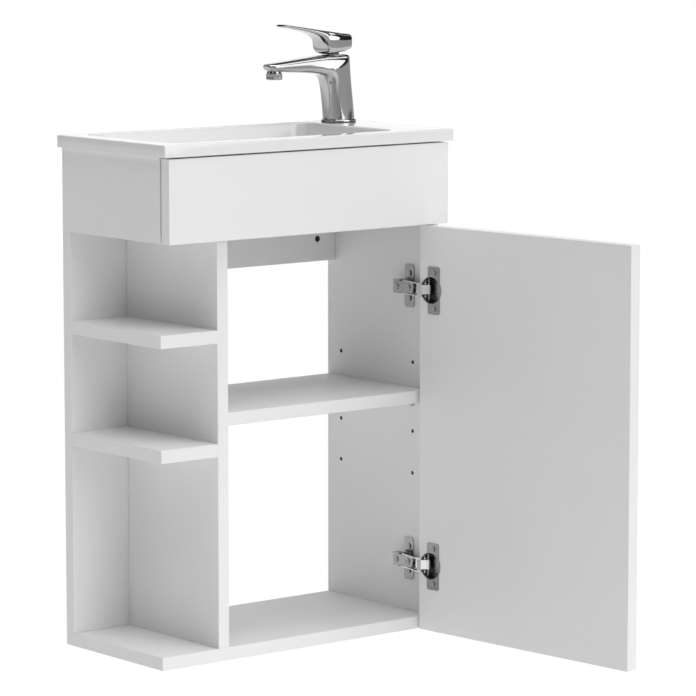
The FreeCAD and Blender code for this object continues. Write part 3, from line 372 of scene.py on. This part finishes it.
STEPS = 5
TAP_SHARP_ANGLE = 50
column_rings = [column_ring(row) for row in spline(COLUMN, STEPS)]
tap_shell = piece("tap_column_and_spout", *bridge(column_rings), "chrome", "cabinet")
# The seat of the cartridge, open at the top.
SEAT_LOW, SEAT_HIGH, SEAT_RADIUS = 58, 95, 14.0
drill(tap_shell, SEAT_LOW, SEAT_HIGH, SEAT_RADIUS)
crisp(tap_shell, TAP_SHARP_ANGLE)
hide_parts("tap_body")


# The foot ring's radius and height over the deck, in mm.
FOOT_OUTLINE = [
    (22.4, 1.0), (22.8, 1.3), (22.8, 2.3), (22.3, 2.9),
    (20.6, 3.5), (20.2, 4.4), (19.0, 4.6), (18.0, 1.0),
]
FOOT_SIDES = 96
FOOT_SHARP_ANGLE = 32


def foot_ring(radius, height):
    center = Vector((TAP.x, TAP.y, DECK))
    ring = []
    for j in range(FOOT_SIDES):
        angle = math.tau * j / FOOT_SIDES
        ring.append(center + Vector((math.cos(angle) * radius * MM, math.sin(angle) * radius * MM,
                                     height * MM)))
    return ring


foot_rings = [foot_ring(radius, height) for radius, height in FOOT_OUTLINE]
foot = piece("tap_foot_ring", *bridge(foot_rings, closed=True), "chrome", "cabinet")
crisp(foot, FOOT_SHARP_ANGLE)

# ---------------------------------------------------------------- aerator
AERATOR_LOW, AERATOR_HIGH = low("aerator_housing").z, high("aerator_housing").z
AERATOR = middle("aerator_housing")
AERATOR_RADIUS = (high("aerator_housing").x - low("aerator_housing").x) / 2
RIBS = 36
POINTS_ROUND = RIBS * 8
GROOVE = 0.35 * MM
AERATOR_SHARP_ANGLE = 40
# Share of the radius, share of the height and how deep the grip's grooves are there.
AERATOR_OUTLINE = [
    (0.80, 0.04, 0), (0.90, 0.0, 0), (0.97, 0.05, 0), (0.985, 0.12, 0.3), (0.985, 0.16, 1),
    (0.985, 0.46, 1), (0.985, 0.50, 0.3), (0.97, 0.56, 0), (0.88, 0.60, 0), (0.86, 0.72, 0),
    (0.86, 1.0, 0), (0.70, 1.0, 0), (0.70, 0.3, 0), (0.78, 0.1, 0),
]
ribbed = []
for radius_share, height_share, depth in AERATOR_OUTLINE:
    ring = []
    for j in range(POINTS_ROUND):
        angle = math.tau * j / POINTS_ROUND
        groove = GROOVE * depth * (0.5 + 0.5 * math.cos(RIBS * angle))
        radius = AERATOR_RADIUS * radius_share - groove
        ring.append(Vector((AERATOR.x + math.cos(angle) * radius, AERATOR.y + math.sin(angle) * radius,
                            AERATOR_LOW + (AERATOR_HIGH - AERATOR_LOW) * height_share)))
    ribbed.append(ring)
aerator = piece("aerator_ribbed_ring", *bridge(ribbed, closed=True), "chrome", "cabinet")
crisp(aerator, AERATOR_SHARP_ANGLE)
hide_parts("aerator_housing")

# ---------------------------------------------------------------- tap lever
# Station from the head's axis, underside, top, half width and squareness, in mm.
LEVER = [
    (19.1, 96.2, 111.0, 14.0, 3.8), (18.8, 94.0, 112.4, 16.2, 4.2), (17.4, 92.6, 113.0, 17.4, 4.3),
    (13, 91.2, 113.5, 18.1, 4.3), (6, 89.6, 114.3, 18.6, 4.1), (-4, 88.2, 115.8, 18.7, 4.2),
    (-12, 87.8, 117.0, 18.2, 4.1), (-17, 88.0, 117.7, 17.6, 3.9), (-18.9, 90.4, 118.0, 17.3, 3.8),
    (-19.8, 96.6, 118.2, 17.1, 3.6), (-22.2, 103.0, 118.5, 16.7, 3.4), (-27.5, 108.4, 119.2, 16.0, 3.2),
    (-36, 112.8, 120.5, 15.0, 3.1), (-48, 116.4, 122.2, 13.9, 3.0), (-62, 119.3, 124.3, 12.8, 3.0),
    (-74, 121.6, 126.0, 12.0, 3.0), (-80.5, 122.8, 126.9, 11.6, 3.0), (-82.6, 123.3, 127.0, 11.2, 2.8),
    (-83.3, 124.2, 126.6, 10.4, 2.6),
]


def lever_ring(row):
    x, under, top, half_width, power = row
    ring = []
    for j in range(AROUND):
        a, b = squared_circle(math.tau * j / AROUND, power)
        ring.append(tap_point(x, half_width * b, (under + top) / 2 + (top - under) / 2 * a, HEAD_X))
    return ring


lever_rings = [lever_ring(row) for row in spline(LEVER, STEPS)]
lever = piece("tap_lever_blade", *bridge(lever_rings), "chrome", "tap_handle")
# The hollow that goes over the cartridge, cut from below the head.
HOLLOW_LOW, HOLLOW_TOP, HOLLOW_RADIUS = 80, 98.8, 15.6
drill(lever, HOLLOW_LOW, HOLLOW_TOP, HOLLOW_RADIUS)
crisp(lever, TAP_SHARP_ANGLE)
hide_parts("tap_lever")

# ---------------------------------------------------------------- washbasin
BASIN_LOW, BASIN_HIGH = low("washbasin"), high("washbasin")
SIDE_STEPS, CORNER_STEPS = 14, 10


def rounded_loop(x0, x1, y0, y1, radius, z):
    """A rectangle with round corners, always with the same number of points."""
    loop = []
    corners = [(x1 - radius, y1 - radius, 0), (x0 + radius, y1 - radius, 90),
               (x0 + radius, y0 + radius, 180), (x1 - radius, y0 + radius, 270)]
    for i, (cx, cy, start) in enumerate(corners):
        for k in range(CORNER_STEPS + 1):
            angle = math.radians(start + 90 * k / CORNER_STEPS)
            loop.append(Vector((cx + radius * math.cos(angle), cy + radius * math.sin(angle), z)))
        ahead = corners[(i + 1) % 4]
        angle = math.radians(start + 90)
        begin = loop[-1]
        end = Vector((ahead[0] + radius * math.cos(angle), ahead[1] + radius * math.sin(angle), z))
        loop += [begin.lerp(end, k / SIDE_STEPS) for k in range(1, SIDE_STEPS)]
    return loop


def inset_loop(inset, radius, z, base):
    x0, x1, y0, y1 = base
    return rounded_loop(x0 + inset, x1 - inset, y0 + inset, y1 - inset, radius, z)


def round_loop(center, radius, z, like):
    """A circle whose points face those of another loop."""
    middle_point = sum(like, Vector()) / len(like)
    loop = []
    for point in like:
        away = Vector((point.x - middle_point.x, point.y - middle_point.y, 0)).normalized()
        loop.append(Vector((center.x + away.x * radius, center.y + away.y * radius, z)))
    return loop


# Sizes in mm: the width of the rim on each side, the bowl's depths and corners, and the drain's radii.
RIM_LEFT, RIM_RIGHT, RIM_FRONT, RIM_REAR = 28.5, 75.5, 23, 15
LIP_END, WALL_END, FLOOR_DROP, FLOOR_THICK = 2.8, 63, 78, 8
SLAB_CORNER, BOWL_CORNER, FOOT_CORNER, SHELL_CORNER = 1.8, 20, 26, 24
CORNER_GROWTH = 1 / 12
FOOT_WIDTH, FOOT_HEIGHT, SHELL_INSET = 14.7, 14.2, 12
DRAIN_HOLE, DRAIN_SEAT, DRAIN_EASE, DRAIN_BOSS = 22.5, 31.2, 34, 36
DRAFT = math.tan(math.radians(10))
BASIN_SHARP_ANGLE = 60

SLAB = (BASIN_LOW.x, BASIN_HIGH.x, BASIN_LOW.y, BASIN_HIGH.y)
MOUTH = (BASIN_LOW.x + RIM_LEFT * MM, BASIN_HIGH.x - RIM_RIGHT * MM,
         BASIN_LOW.y + RIM_FRONT * MM, BASIN_HIGH.y - RIM_REAR * MM)
BOWL_FLOOR = RIM - FLOOR_DROP * MM

# The slab's side and its eased top edge, then the lip and the drafted wall of the bowl.
loops = []
for inset, drop in ((0, 15), (0, 14.7), (0, 1.4), (0.12, 0.8), (0.45, 0.32), (1.0, 0.06), (1.6, 0)):
    loops.append(inset_loop(inset * MM, SLAB_CORNER * MM, RIM - drop * MM, SLAB))
for grow, drop in ((3.2, 0), (2.2, 0.08), (1.1, 0.5), (0.35, 1.4), (0, LIP_END)):
    loops.append(inset_loop(-grow * MM, (BOWL_CORNER + grow) * MM, RIM - drop * MM, MOUTH))
for drop in (12, 26, 42, 56, WALL_END):
    radius = BOWL_CORNER + drop * CORNER_GROWTH
    loops.append(inset_loop((drop - LIP_END) * DRAFT * MM, radius * MM, RIM - drop * MM, MOUTH))

# The round foot of the wall, then the floor, which falls to the drain's seat and hole.
wall_inset = (WALL_END - LIP_END) * DRAFT
for turn in (20, 40, 60, 78, 90):
    angle = math.radians(turn)
    inset = wall_inset + FOOT_WIDTH * (1 - math.cos(angle))
    drop = WALL_END + FOOT_HEIGHT * math.sin(angle)
    loops.append(inset_loop(inset * MM, FOOT_CORNER * MM, RIM - drop * MM, MOUTH))
inner_foot = loops[-1]
round_drain = round_loop(DRAIN, DRAIN_EASE * MM, 0, inner_foot)
for share, fall in ((0.3, 0.2), (0.6, 0.45), (0.85, 0.75)):
    height = RIM - (WALL_END + FOOT_HEIGHT + fall) * MM
    loops.append([Vector((p.x + (q.x - p.x) * share, p.y + (q.y - p.y) * share, height))
                  for p, q in zip(inner_foot, round_drain)])
for radius, height in ((33, 0.05), (DRAIN_SEAT, 0), (DRAIN_HOLE, 0), (DRAIN_HOLE, -FLOOR_THICK)):
    loops.append(round_loop(DRAIN, radius * MM, BOWL_FLOOR + height * MM, inner_foot))

# Back up the outer side of the bowl to the slab's underside.
shell_foot = inset_loop(SHELL_INSET * MM, SHELL_CORNER * MM, BOWL_FLOOR - FLOOR_THICK * MM, MOUTH)
loops.append(round_loop(DRAIN, DRAIN_BOSS * MM, BOWL_FLOOR - FLOOR_THICK * MM, shell_foot))
loops.append(shell_foot)
for inset, height, radius in ((9.6, -7.2, 26), (7.4, -4.6, 27), (6.6, -1, 27), (3, 20, 26),
                              (-2.6, 52, 25), (-3.3, 56, 25), (-4.4, 61, 26), (-5, 63, 26)):
    loops.append(inset_loop(inset * MM, radius * MM, BOWL_FLOOR + height * MM, MOUTH))
basin = piece("washbasin_bowl_and_rim", *bridge(loops, closed=True), "white_ceramic", "cabinet")
crisp(basin, BASIN_SHARP_ANGLE)
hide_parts("washbasin")

# ---------------------------------------------------------------- camera, light and floor
EYE = Vector((-2.8369, -3.7862, 0.9778 + FLOOR))
HEADING = math.radians(39.058)
PITCH = math.radians(7.499)
SENSOR_WIDTH, FOCAL_LENGTH = 36, 193.5
FARTHEST = 200

camera_data = bpy.data.cameras.new("camera")
camera_data.sensor_width = SENSOR_WIDTH
camera_data.lens = FOCAL_LENGTH
camera_data.clip_end = FARTHEST
camera = bpy.data.objects.new("camera", camera_data)
bpy.context.collection.objects.link(camera)
camera.location = EYE
look = Vector((math.sin(HEADING) * math.cos(PITCH), math.cos(HEADING) * math.cos(PITCH), -math.sin(PITCH)))
camera.rotation_euler = look.to_track_quat("-Z", "Y").to_euler()
bpy.context.scene.camera = camera
bpy.context.scene.view_settings.view_transform = "Standard"

world = bpy.data.worlds.new("studio")
bpy.context.scene.world = world
world.use_nodes = True
tree = world.node_tree
sky = tree.nodes["Background"]
direction = tree.nodes.new("ShaderNodeTexCoord")
split = tree.nodes.new("ShaderNodeSeparateXYZ")
tree.links.new(direction.outputs["Generated"], split.inputs["Vector"])


def math_node(operation, first, second):
    node = tree.nodes.new("ShaderNodeMath")
    node.operation = operation
    for socket, value in zip(node.inputs, (first, second)):
        if isinstance(value, (int, float)):
            socket.default_value = value
        else:
            tree.links.new(value, socket)
    return node.outputs["Value"]


def soft_step(owner, source, low_at, high_at, low_value=0.0, high_value=1.0):
    """Goes smoothly from one value to another as its source goes from low_at to high_at."""
    rise = owner.nodes.new("ShaderNodeMapRange")
    rise.interpolation_type = "SMOOTHSTEP"
    rise.inputs["From Min"].default_value = low_at
    rise.inputs["From Max"].default_value = high_at
    rise.inputs["To Min"].default_value = low_value
    rise.inputs["To Max"].default_value = high_value
    owner.links.new(source, rise.inputs["Value"])
    return rise.outputs["Result"]


AHEAD = (math.sin(HEADING), math.cos(HEADING), 0)


def straight_ahead(owner, source, low_at, high_at):
    """Goes from 0 to 1 as a direction turns to the one that the camera heads for at rest."""
    dot = owner.nodes.new("ShaderNodeVectorMath")
    dot.operation = "DOT_PRODUCT"
    dot.inputs[1].default_value = AHEAD
    owner.links.new(source, dot.inputs[0])
    return soft_step(owner, dot.outputs["Value"], low_at, high_at)


# Tall soft panels all round with darker gaps, which give the chrome its bright and dark bands.
PANEL_COUNT = 5
PANEL_EDGE = (0.35, 0.75)
GAP_LIGHT, PANEL_LIGHT = 0.03, 0.62
turn_round = math_node("ARCTAN2", split.outputs["X"], split.outputs["Y"])
wave = math_node("SINE", math_node("MULTIPLY", turn_round, PANEL_COUNT), 0.0)
panels = soft_step(tree, wave, *PANEL_EDGE, GAP_LIGHT, PANEL_LIGHT)

# A white backdrop low down behind the cabinet, which the flat rim mirrors.
BACKDROP_EDGE = (0.955, 0.975)
backdrop = straight_ahead(tree, direction.outputs["Generated"], *BACKDROP_EDGE)
tree.links.new(math_node("MAXIMUM", panels, backdrop), sky.inputs["Strength"])
sky.inputs["Color"].default_value = (1, 1, 1, 1)


def sun(name, toward, strength, spread):
    """A distant light that shines toward a direction, its spread in degrees."""
    data = bpy.data.lights.new(name, "SUN")
    data.energy = strength
    data.angle = math.radians(spread)
    item = bpy.data.objects.new(name, data)
    bpy.context.collection.objects.link(item)
    item.rotation_euler = Vector(toward).to_track_quat("-Z", "Y").to_euler()


sun("overhead", (-0.06, 0.20, -1), strength=2.3, spread=75)
sun("front", (-0.30, 1, -0.25), strength=0.9, spread=45)

FLOOR_HALF_SIZE = 80
HANGING_HEIGHT = 0.35
FLOOR_GLOW = 0.05
floor_mesh = bpy.data.meshes.new("floor")
build = bmesh.new()
bmesh.ops.create_grid(build, x_segments=1, y_segments=1, size=FLOOR_HALF_SIZE)
build.to_mesh(floor_mesh)
build.free()
floor = bpy.data.objects.new("floor", floor_mesh)
bpy.context.collection.objects.link(floor)
floor.location = (0, 0, FLOOR - HANGING_HEIGHT)
FLOOR_PAINT = material("floor_pale", grey(0.96), rough=0.9, specular=0.1)
floor_mesh.materials.append(FLOOR_PAINT)
floor_tree = FLOOR_PAINT.node_tree
floor_shader = floor_tree.nodes["Principled BSDF"]
floor_shader.inputs["Emission Color"].default_value = (1, 1, 1, 1)
floor_shader.inputs["Emission Strength"].default_value = FLOOR_GLOW


def floor_node(kind, operation=None):
    node = floor_tree.nodes.new(kind)
    if operation:
        node.operation = operation
    return node


# White round the cabinet and behind it, falling to a light grey far out at the sides,
# which gives the chrome its outlines.
WHITE_FROM, WHITE_TO = 6.5, 3.2
WEDGE_EDGE = (0.92, 0.972)
SIDE_SHADE, WHITE_SHADE = 0.48, 0.97
place = floor_node("ShaderNodeTexCoord")
along = floor_node("ShaderNodeVectorMath", "NORMALIZE")
out_from_middle = floor_node("ShaderNodeVectorMath", "LENGTH")
white = floor_node("ShaderNodeMath", "MAXIMUM")
shade = floor_node("ShaderNodeMapRange")
shade.inputs["To Min"].default_value = SIDE_SHADE
shade.inputs["To Max"].default_value = WHITE_SHADE
floor_tree.links.new(place.outputs["Object"], along.inputs[0])
floor_tree.links.new(place.outputs["Object"], out_from_middle.inputs[0])
close_by = soft_step(floor_tree, out_from_middle.outputs["Value"], WHITE_FROM, WHITE_TO)
wedge = straight_ahead(floor_tree, along.outputs["Vector"], *WEDGE_EDGE)
floor_tree.links.new(wedge, white.inputs[0])
floor_tree.links.new(close_by, white.inputs[1])
floor_tree.links.new(white.outputs["Value"], shade.inputs["Value"])
floor_tree.links.new(shade.outputs["Result"], floor_shader.inputs["Base Color"])

bpy.context.view_layer.update()
